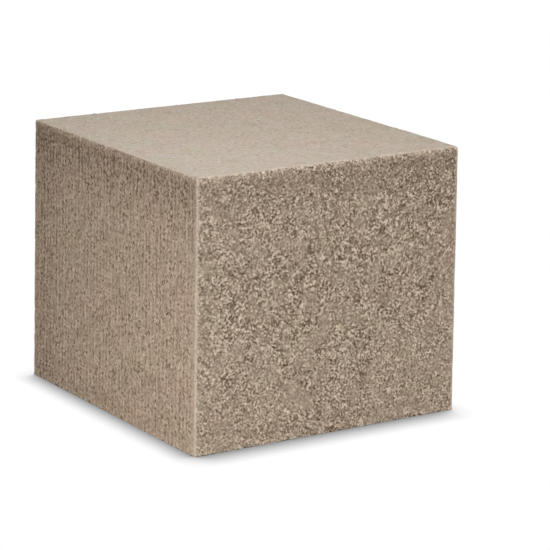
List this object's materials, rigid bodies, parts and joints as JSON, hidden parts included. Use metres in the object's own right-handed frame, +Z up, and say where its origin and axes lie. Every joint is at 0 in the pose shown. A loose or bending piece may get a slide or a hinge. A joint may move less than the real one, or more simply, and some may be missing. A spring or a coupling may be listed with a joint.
{
  "type": "floral foam block",
  "caption": "Near-cubic block of dry tan floral foam with saw-cut flat faces, square corners and lightly crushed edges, for holding dried or artificial stems.",
  "frame": {"origin": "centre of the base, on the surface that the block stands on", "axes": "+Z up; -Y out of the front face, which shows the torn cell grain; -X out of the side with the upright saw lines; depth along Y is the longest side and height along Z the shortest"},
  "size_m": [0.1, 0.104, 0.089],
  "materials": {
    "foam": "dry, matte, open-cell foam: torn cells on two faces, saw lines on two, finer grain on top and base"
  },
  "bodies": {
    "root": {"foam_block": "foam"}
  },
  "joints": []
}
